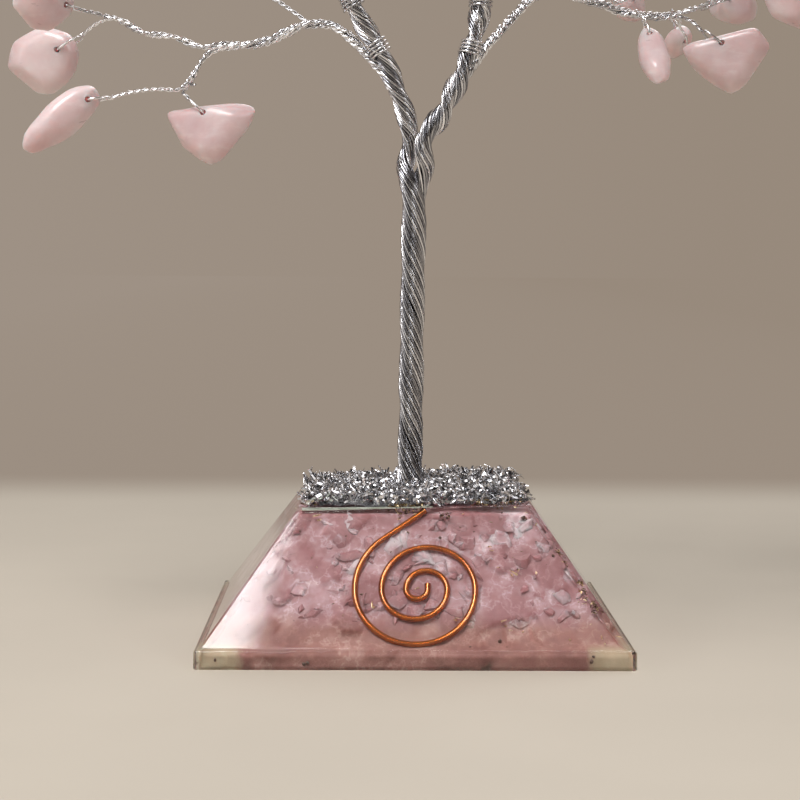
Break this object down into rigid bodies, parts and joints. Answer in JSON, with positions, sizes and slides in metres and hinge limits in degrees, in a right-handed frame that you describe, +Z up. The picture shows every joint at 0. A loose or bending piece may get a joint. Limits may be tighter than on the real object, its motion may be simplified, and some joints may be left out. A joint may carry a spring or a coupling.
{
  "type": "gemstone tree ornament",
  "caption": "Table ornament: a twisted silver wire tree with drilled pink quartz stones on bendable twigs, set on a clear resin pyramid with cast-in chips and a copper spiral.",
  "frame": {"origin": "middle of the base's underside, on the surface that the ornament stands on", "axes": "+Z up along the trunk, -Y towards the front face, which holds the copper spiral, +X to the right seen from the front"},
  "size_m": [0.1328, 0.1057, 0.1654],
  "materials": {
    "resin": "clear cast resin, glossy",
    "cast_quartz": "crushed, cloudy",
    "copper": "enamelled copper wire, glossy",
    "brass_flake": "raw flakes",
    "shavings": "bright cut shavings",
    "silver_wire": "bright drawn wire",
    "rose_quartz": "tumbled, polished"
  },
  "bodies": {
    "base_and_trunk": {"resin_pyramid": "resin", "rose_quartz_fill": "cast_quartz", "copper_spiral": "copper", "brass_flakes": "brass_flake", "shavings_bed": "shavings", "shaving_curls": "shavings", "root_wires": "silver_wire", "trunk": "silver_wire", "fork_knot": "silver_wire", "left_limb": "silver_wire", "right_limb": "silver_wire"},
    "lower_left_branch": {"lower_left_branch": "silver_wire"},
    "lower_left_stone_1": {"lower_left_stone_1": "rose_quartz"},
    "lower_left_stone_2": {"lower_left_stone_2": "rose_quartz"},
    "lower_left_stone_3": {"lower_left_stone_3": "rose_quartz"},
    "lower_left_stone_4": {"lower_left_stone_4": "rose_quartz"},
    "lower_left_stone_5": {"lower_left_stone_5": "rose_quartz"},
    "lower_right_branch": {"lower_right_branch": "silver_wire"},
    "lower_right_stone_1": {"lower_right_stone_1": "rose_quartz"},
    "lower_right_stone_2": {"lower_right_stone_2": "rose_quartz"},
    "lower_right_stone_3": {"lower_right_stone_3": "rose_quartz"},
    "lower_right_stone_4": {"lower_right_stone_4": "rose_quartz"},
    "lower_right_stone_5": {"lower_right_stone_5": "rose_quartz"},
    "lower_right_stone_6": {"lower_right_stone_6": "rose_quartz"},
    "rear_left_branch": {"rear_left_branch": "silver_wire"},
    "rear_left_stone_1": {"rear_left_stone_1": "rose_quartz"},
    "rear_left_stone_2": {"rear_left_stone_2": "rose_quartz"},
    "rear_left_stone_3": {"rear_left_stone_3": "rose_quartz"},
    "rear_left_stone_4": {"rear_left_stone_4": "rose_quartz"},
    "front_left_branch": {"front_left_branch": "silver_wire"},
    "front_left_stone_1": {"front_left_stone_1": "rose_quartz"},
    "front_left_stone_2": {"front_left_stone_2": "rose_quartz"},
    "front_left_stone_3": {"front_left_stone_3": "rose_quartz"},
    "side_left_front_branch": {"side_left_front_branch": "silver_wire"},
    "side_left_front_stone_1": {"side_left_front_stone_1": "rose_quartz"},
    "side_left_front_stone_2": {"side_left_front_stone_2": "rose_quartz"},
    "side_left_front_stone_3": {"side_left_front_stone_3": "rose_quartz"},
    "side_left_front_stone_4": {"side_left_front_stone_4": "rose_quartz"},
    "side_left_rear_branch": {"side_left_rear_branch": "silver_wire"},
    "side_left_rear_stone_1": {"side_left_rear_stone_1": "rose_quartz"},
    "side_left_rear_stone_2": {"side_left_rear_stone_2": "rose_quartz"},
    "side_left_rear_stone_3": {"side_left_rear_stone_3": "rose_quartz"},
    "rear_right_branch": {"rear_right_branch": "silver_wire"},
    "rear_right_stone_1": {"rear_right_stone_1": "rose_quartz"},
    "rear_right_stone_2": {"rear_right_stone_2": "rose_quartz"},
    "rear_right_stone_3": {"rear_right_stone_3": "rose_quartz"},
    "rear_right_stone_4": {"rear_right_stone_4": "rose_quartz"},
    "front_right_branch": {"front_right_branch": "silver_wire"},
    "front_right_stone_1": {"front_right_stone_1": "rose_quartz"},
    "front_right_stone_2": {"front_right_stone_2": "rose_quartz"},
    "front_right_stone_3": {"front_right_stone_3": "rose_quartz"},
    "side_right_front_branch": {"side_right_front_branch": "silver_wire"},
    "side_right_front_stone_1": {"side_right_front_stone_1": "rose_quartz"},
    "side_right_front_stone_2": {"side_right_front_stone_2": "rose_quartz"},
    "side_right_front_stone_3": {"side_right_front_stone_3": "rose_quartz"},
    "side_right_front_stone_4": {"side_right_front_stone_4": "rose_quartz"},
    "side_right_rear_branch": {"side_right_rear_branch": "silver_wire"},
    "side_right_rear_stone_1": {"side_right_rear_stone_1": "rose_quartz"},
    "side_right_rear_stone_2": {"side_right_rear_stone_2": "rose_quartz"},
    "side_right_rear_stone_3": {"side_right_rear_stone_3": "rose_quartz"}
  },
  "joints": [
    {"name": "lower_left_branch_bend", "type": "hinge", "parent": "base_and_trunk", "child": "lower_left_branch", "pos_m": [-0.00839, 0.00184, 0.09324], "axis": [0, 1, 0], "range_deg": [-8, 8]},
    {"name": "lower_left_stone_1_turn", "type": "hinge", "parent": "lower_left_branch", "child": "lower_left_stone_1", "pos_m": [-0.03311, 0.002, 0.08252], "axis": [-0.2317, -0.9496, 0.211], "range_deg": [-6, 15]},
    {"name": "lower_left_stone_2_turn", "type": "hinge", "parent": "lower_left_branch", "child": "lower_left_stone_2", "pos_m": [-0.05215, -0.002, 0.08452], "axis": [0.3739, -0.9259, 0.0534], "range_deg": [-15, 15]},
    {"name": "lower_left_stone_3_turn", "type": "hinge", "parent": "lower_left_branch", "child": "lower_left_stone_3", "pos_m": [-0.05754, 0.012, 0.09396], "axis": [-0.2745, -0.9475, -0.1641], "range_deg": [-15, 15]},
    {"name": "lower_left_stone_4_turn", "type": "hinge", "parent": "lower_left_branch", "child": "lower_left_stone_4", "pos_m": [-0.05663, 0.003, 0.1002], "axis": [0.6352, -0.7559, -0.1588], "range_deg": [-15, 15]},
    {"name": "lower_left_stone_5_turn", "type": "hinge", "parent": "lower_left_branch", "child": "lower_left_stone_5", "pos_m": [-0.03115, 0.008, 0.1054], "axis": [-0.2578, -0.9552, 0.1451], "range_deg": [-15, 15]},
    {"name": "lower_right_branch_bend", "type": "hinge", "parent": "base_and_trunk", "child": "lower_right_branch", "pos_m": [0.01136, -0.00081, 0.0937], "axis": [0, -1, 0], "range_deg": [-8, 8]},
    {"name": "lower_right_stone_1_turn", "type": "hinge", "parent": "lower_right_branch", "child": "lower_right_stone_1", "pos_m": [0.0357, 0.023, 0.1034], "axis": [0.8781, -0.3978, 0.266], "range_deg": [-15, 15]},
    {"name": "lower_right_stone_2_turn", "type": "hinge", "parent": "lower_right_branch", "child": "lower_right_stone_2", "pos_m": [0.03829, 0.0075, 0.09548], "axis": [-0.162, -0.7396, 0.6532], "range_deg": [-15, 15]},
    {"name": "lower_right_stone_3_turn", "type": "hinge", "parent": "lower_right_branch", "child": "lower_right_stone_3", "pos_m": [0.0455, 0.0235, 0.09796], "axis": [0.5172, -0.2875, -0.8061], "range_deg": [-15, 15]},
    {"name": "lower_right_stone_4_turn", "type": "hinge", "parent": "lower_right_branch", "child": "lower_right_stone_4", "pos_m": [0.05068, 0.012, 0.09516], "axis": [-0.1812, -0.9734, 0.1402], "range_deg": [-6, 15]},
    {"name": "lower_right_stone_5_turn", "type": "hinge", "parent": "lower_right_branch", "child": "lower_right_stone_5", "pos_m": [0.05222, 0.022, 0.1034], "axis": [0.6312, -0.74, 0.2323], "range_deg": [-15, 15]},
    {"name": "lower_right_stone_6_turn", "type": "hinge", "parent": "lower_right_branch", "child": "lower_right_stone_6", "pos_m": [0.05803, 0.003, 0.1038], "axis": [-0.5875, -0.7964, -0.1436], "range_deg": [-15, 15]},
    {"name": "rear_left_branch_bend", "type": "hinge", "parent": "base_and_trunk", "child": "rear_left_branch", "pos_m": [-0.01128, 0.00424, 0.10144], "axis": [0.9239, 0.3827, 0], "range_deg": [-8, 8]},
    {"name": "rear_left_stone_1_turn", "type": "hinge", "parent": "rear_left_branch", "child": "rear_left_stone_1", "pos_m": [-0.00915, 0.04433, 0.1212], "axis": [0.0046, 0.0704, 0.9975], "range_deg": [-15, 15]},
    {"name": "rear_left_stone_2_turn", "type": "hinge", "parent": "rear_left_branch", "child": "rear_left_stone_2", "pos_m": [-0.02909, 0.03701, 0.12463], "axis": [0.405, 0.5433, -0.7354], "range_deg": [-15, 15]},
    {"name": "rear_left_stone_3_turn", "type": "hinge", "parent": "rear_left_branch", "child": "rear_left_stone_3", "pos_m": [-0.02011, 0.03269, 0.13872], "axis": [-0.7388, -0.6713, 0.0601], "range_deg": [-15, 15]},
    {"name": "rear_left_stone_4_turn", "type": "hinge", "parent": "rear_left_branch", "child": "rear_left_stone_4", "pos_m": [-0.00864, 0.02092, 0.15191], "axis": [-0.5893, -0.8068, 0.0425], "range_deg": [-15, 15]},
    {"name": "front_left_branch_bend", "type": "hinge", "parent": "base_and_trunk", "child": "front_left_branch", "pos_m": [-0.01258, 0.00013, 0.10538], "axis": [-0.9239, 0.3827, 0], "range_deg": [-8, 8]},
    {"name": "front_left_stone_1_turn", "type": "hinge", "parent": "front_left_branch", "child": "front_left_stone_1", "pos_m": [-0.0192, -0.04163, 0.12293], "axis": [0.1595, -0.0687, -0.9848], "range_deg": [-15, 15]},
    {"name": "front_left_stone_2_turn", "type": "hinge", "parent": "front_left_branch", "child": "front_left_stone_2", "pos_m": [-0.02151, -0.0321, 0.13872], "axis": [0.8042, 0.0593, 0.5914], "range_deg": [-15, 15]},
    {"name": "front_left_stone_3_turn", "type": "hinge", "parent": "front_left_branch", "child": "front_left_stone_3", "pos_m": [-0.01209, -0.02365, 0.14961], "axis": [-0.9771, 0.2107, -0.0299], "range_deg": [-15, 15]},
    {"name": "side_left_front_branch_bend", "type": "hinge", "parent": "base_and_trunk", "child": "side_left_front_branch", "pos_m": [-0.01494, 0.0014, 0.10881], "axis": [-0.3827, 0.9239, 0], "range_deg": [-8, 8]},
    {"name": "side_left_front_stone_1_turn", "type": "hinge", "parent": "side_left_front_branch", "child": "side_left_front_stone_1", "pos_m": [-0.0547, -0.00742, 0.1212], "axis": [-0.0393, 0.344, 0.9381], "range_deg": [-15, 15]},
    {"name": "side_left_front_stone_2_turn", "type": "hinge", "parent": "side_left_front_branch", "child": "side_left_front_stone_2", "pos_m": [-0.04567, -0.02358, 0.12463], "axis": [-0.2821, 0.2668, -0.9216], "range_deg": [-15, 15]},
    {"name": "side_left_front_stone_3_turn", "type": "hinge", "parent": "side_left_front_branch", "child": "side_left_front_stone_3", "pos_m": [-0.04034, -0.0163, 0.13872], "axis": [0.6809, -0.6662, 0.3043], "range_deg": [-15, 15]},
    {"name": "side_left_front_stone_4_turn", "type": "hinge", "parent": "side_left_front_branch", "child": "side_left_front_stone_4", "pos_m": [-0.02582, -0.007, 0.15191], "axis": [0.9634, -0.2675, 0.017], "range_deg": [-15, 15]},
    {"name": "side_left_rear_branch_bend", "type": "hinge", "parent": "base_and_trunk", "child": "side_left_rear_branch", "pos_m": [-0.01462, 0.00242, 0.11472], "axis": [0.3827, 0.9239, 0], "range_deg": [-8, 8]},
    {"name": "side_left_rear_stone_1_turn", "type": "hinge", "parent": "side_left_rear_branch", "child": "side_left_rear_stone_1", "pos_m": [-0.05137, 0.01556, 0.12293], "axis": [-0.1324, -0.4822, -0.866], "range_deg": [-15, 15]},
    {"name": "side_left_rear_stone_2_turn", "type": "hinge", "parent": "side_left_rear_branch", "child": "side_left_rear_stone_2", "pos_m": [-0.03961, 0.01743, 0.13872], "axis": [0.4573, -0.5463, 0.7017], "range_deg": [-15, 15]},
    {"name": "side_left_rear_stone_3_turn", "type": "hinge", "parent": "side_left_rear_branch", "child": "side_left_rear_stone_3", "pos_m": [-0.02918, 0.0098, 0.14961], "axis": [-0.2782, 0.9575, -0.0766], "range_deg": [-15, 15]},
    {"name": "rear_right_branch_bend", "type": "hinge", "parent": "base_and_trunk", "child": "rear_right_branch", "pos_m": [0.01131, 0.00228, 0.10193], "axis": [0.9239, -0.3827, 0], "range_deg": [-8, 8]},
    {"name": "rear_right_stone_1_turn", "type": "hinge", "parent": "rear_right_branch", "child": "rear_right_stone_1", "pos_m": [0.03221, 0.03659, 0.1212], "axis": [0.4174, -0.4912, 0.7646], "range_deg": [-15, 15]},
    {"name": "rear_right_stone_2_turn", "type": "hinge", "parent": "rear_right_branch", "child": "rear_right_stone_2", "pos_m": [0.01172, 0.04284, 0.12463], "axis": [0.0474, 0.078, -0.9958], "range_deg": [-15, 15]},
    {"name": "rear_right_stone_3_turn", "type": "hinge", "parent": "rear_right_branch", "child": "rear_right_stone_3", "pos_m": [0.0143, 0.03464, 0.13872], "axis": [-0.818, -0.3285, 0.4722], "range_deg": [-15, 15]},
    {"name": "rear_right_stone_4_turn", "type": "hinge", "parent": "rear_right_branch", "child": "rear_right_stone_4", "pos_m": [0.01215, 0.01975, 0.15191], "axis": [-0.5733, -0.8193, -0.0028], "range_deg": [-15, 15]},
    {"name": "front_right_branch_bend", "type": "hinge", "parent": "base_and_trunk", "child": "front_right_branch", "pos_m": [0.01142, -0.00166, 0.10575], "axis": [-0.9239, -0.3827, 0], "range_deg": [-8, 8]},
    {"name": "front_right_stone_1_turn", "type": "hinge", "parent": "front_right_branch", "child": "front_right_stone_1", "pos_m": [0.02274, -0.04044, 0.12293], "axis": [0.6529, 0.4007, -0.6428], "range_deg": [-15, 15]},
    {"name": "front_right_stone_2_turn", "type": "hinge", "parent": "front_right_branch", "child": "front_right_stone_2", "pos_m": [0.0128, -0.03502, 0.13872], "axis": [-0.2387, 0.7086, 0.664], "range_deg": [-15, 15]},
    {"name": "front_right_stone_3_turn", "type": "hinge", "parent": "front_right_branch", "child": "front_right_stone_3", "pos_m": [0.01209, -0.02365, 0.14961], "axis": [-0.1404, -0.9856, -0.0946], "range_deg": [-15, 15]},
    {"name": "side_right_front_branch_bend", "type": "hinge", "parent": "base_and_trunk", "child": "side_right_front_branch", "pos_m": [0.01275, -0.00021, 0.10962], "axis": [-0.3827, -0.9239, 0], "range_deg": [-8, 8]},
    {"name": "side_right_front_stone_1_turn", "type": "hinge", "parent": "side_right_front_branch", "child": "side_right_front_stone_1", "pos_m": [0.04516, -0.0261, 0.1212], "axis": [-0.5557, -0.665, 0.499], "range_deg": [-15, 15]},
    {"name": "side_right_front_stone_2_turn", "type": "hinge", "parent": "side_right_front_branch", "child": "side_right_front_stone_2", "pos_m": [0.05286, -0.0095, 0.12463], "axis": [0.0715, 0.2986, -0.9517], "range_deg": [-15, 15]},
    {"name": "side_right_front_stone_3_turn", "type": "hinge", "parent": "side_right_front_branch", "child": "side_right_front_stone_3", "pos_m": [0.04274, -0.01159, 0.13872], "axis": [-0.5326, 0.5212, 0.6669], "range_deg": [-15, 15]},
    {"name": "side_right_front_stone_4_turn", "type": "hinge", "parent": "side_right_front_branch", "child": "side_right_front_stone_4", "pos_m": [0.02437, -0.00984, 0.15191], "axis": [-0.8911, 0.4532, -0.0242], "range_deg": [-15, 15]},
    {"name": "side_right_rear_branch_bend", "type": "hinge", "parent": "base_and_trunk", "child": "side_right_rear_branch", "pos_m": [0.01082, 0.00094, 0.11475], "axis": [0.3827, -0.9239, 0], "range_deg": [-8, 8]},
    {"name": "side_right_rear_stone_1_turn", "type": "hinge", "parent": "side_right_rear_branch", "child": "side_right_rear_stone_1", "pos_m": [0.0499, 0.01843, 0.12293], "axis": [-0.3521, 0.8712, -0.342], "range_deg": [-15, 15]},
    {"name": "side_right_rear_stone_2_turn", "type": "hinge", "parent": "side_right_rear_branch", "child": "side_right_rear_stone_2", "pos_m": [0.04322, 0.01037, 0.13872], "axis": [-0.5466, -0.518, 0.6579], "range_deg": [-15, 15]},
    {"name": "side_right_rear_stone_3_turn", "type": "hinge", "parent": "side_right_rear_branch", "child": "side_right_rear_stone_3", "pos_m": [0.02918, 0.0098, 0.14961], "axis": [0.9899, 0.0592, -0.1291], "range_deg": [-15, 15]}
  ]
}
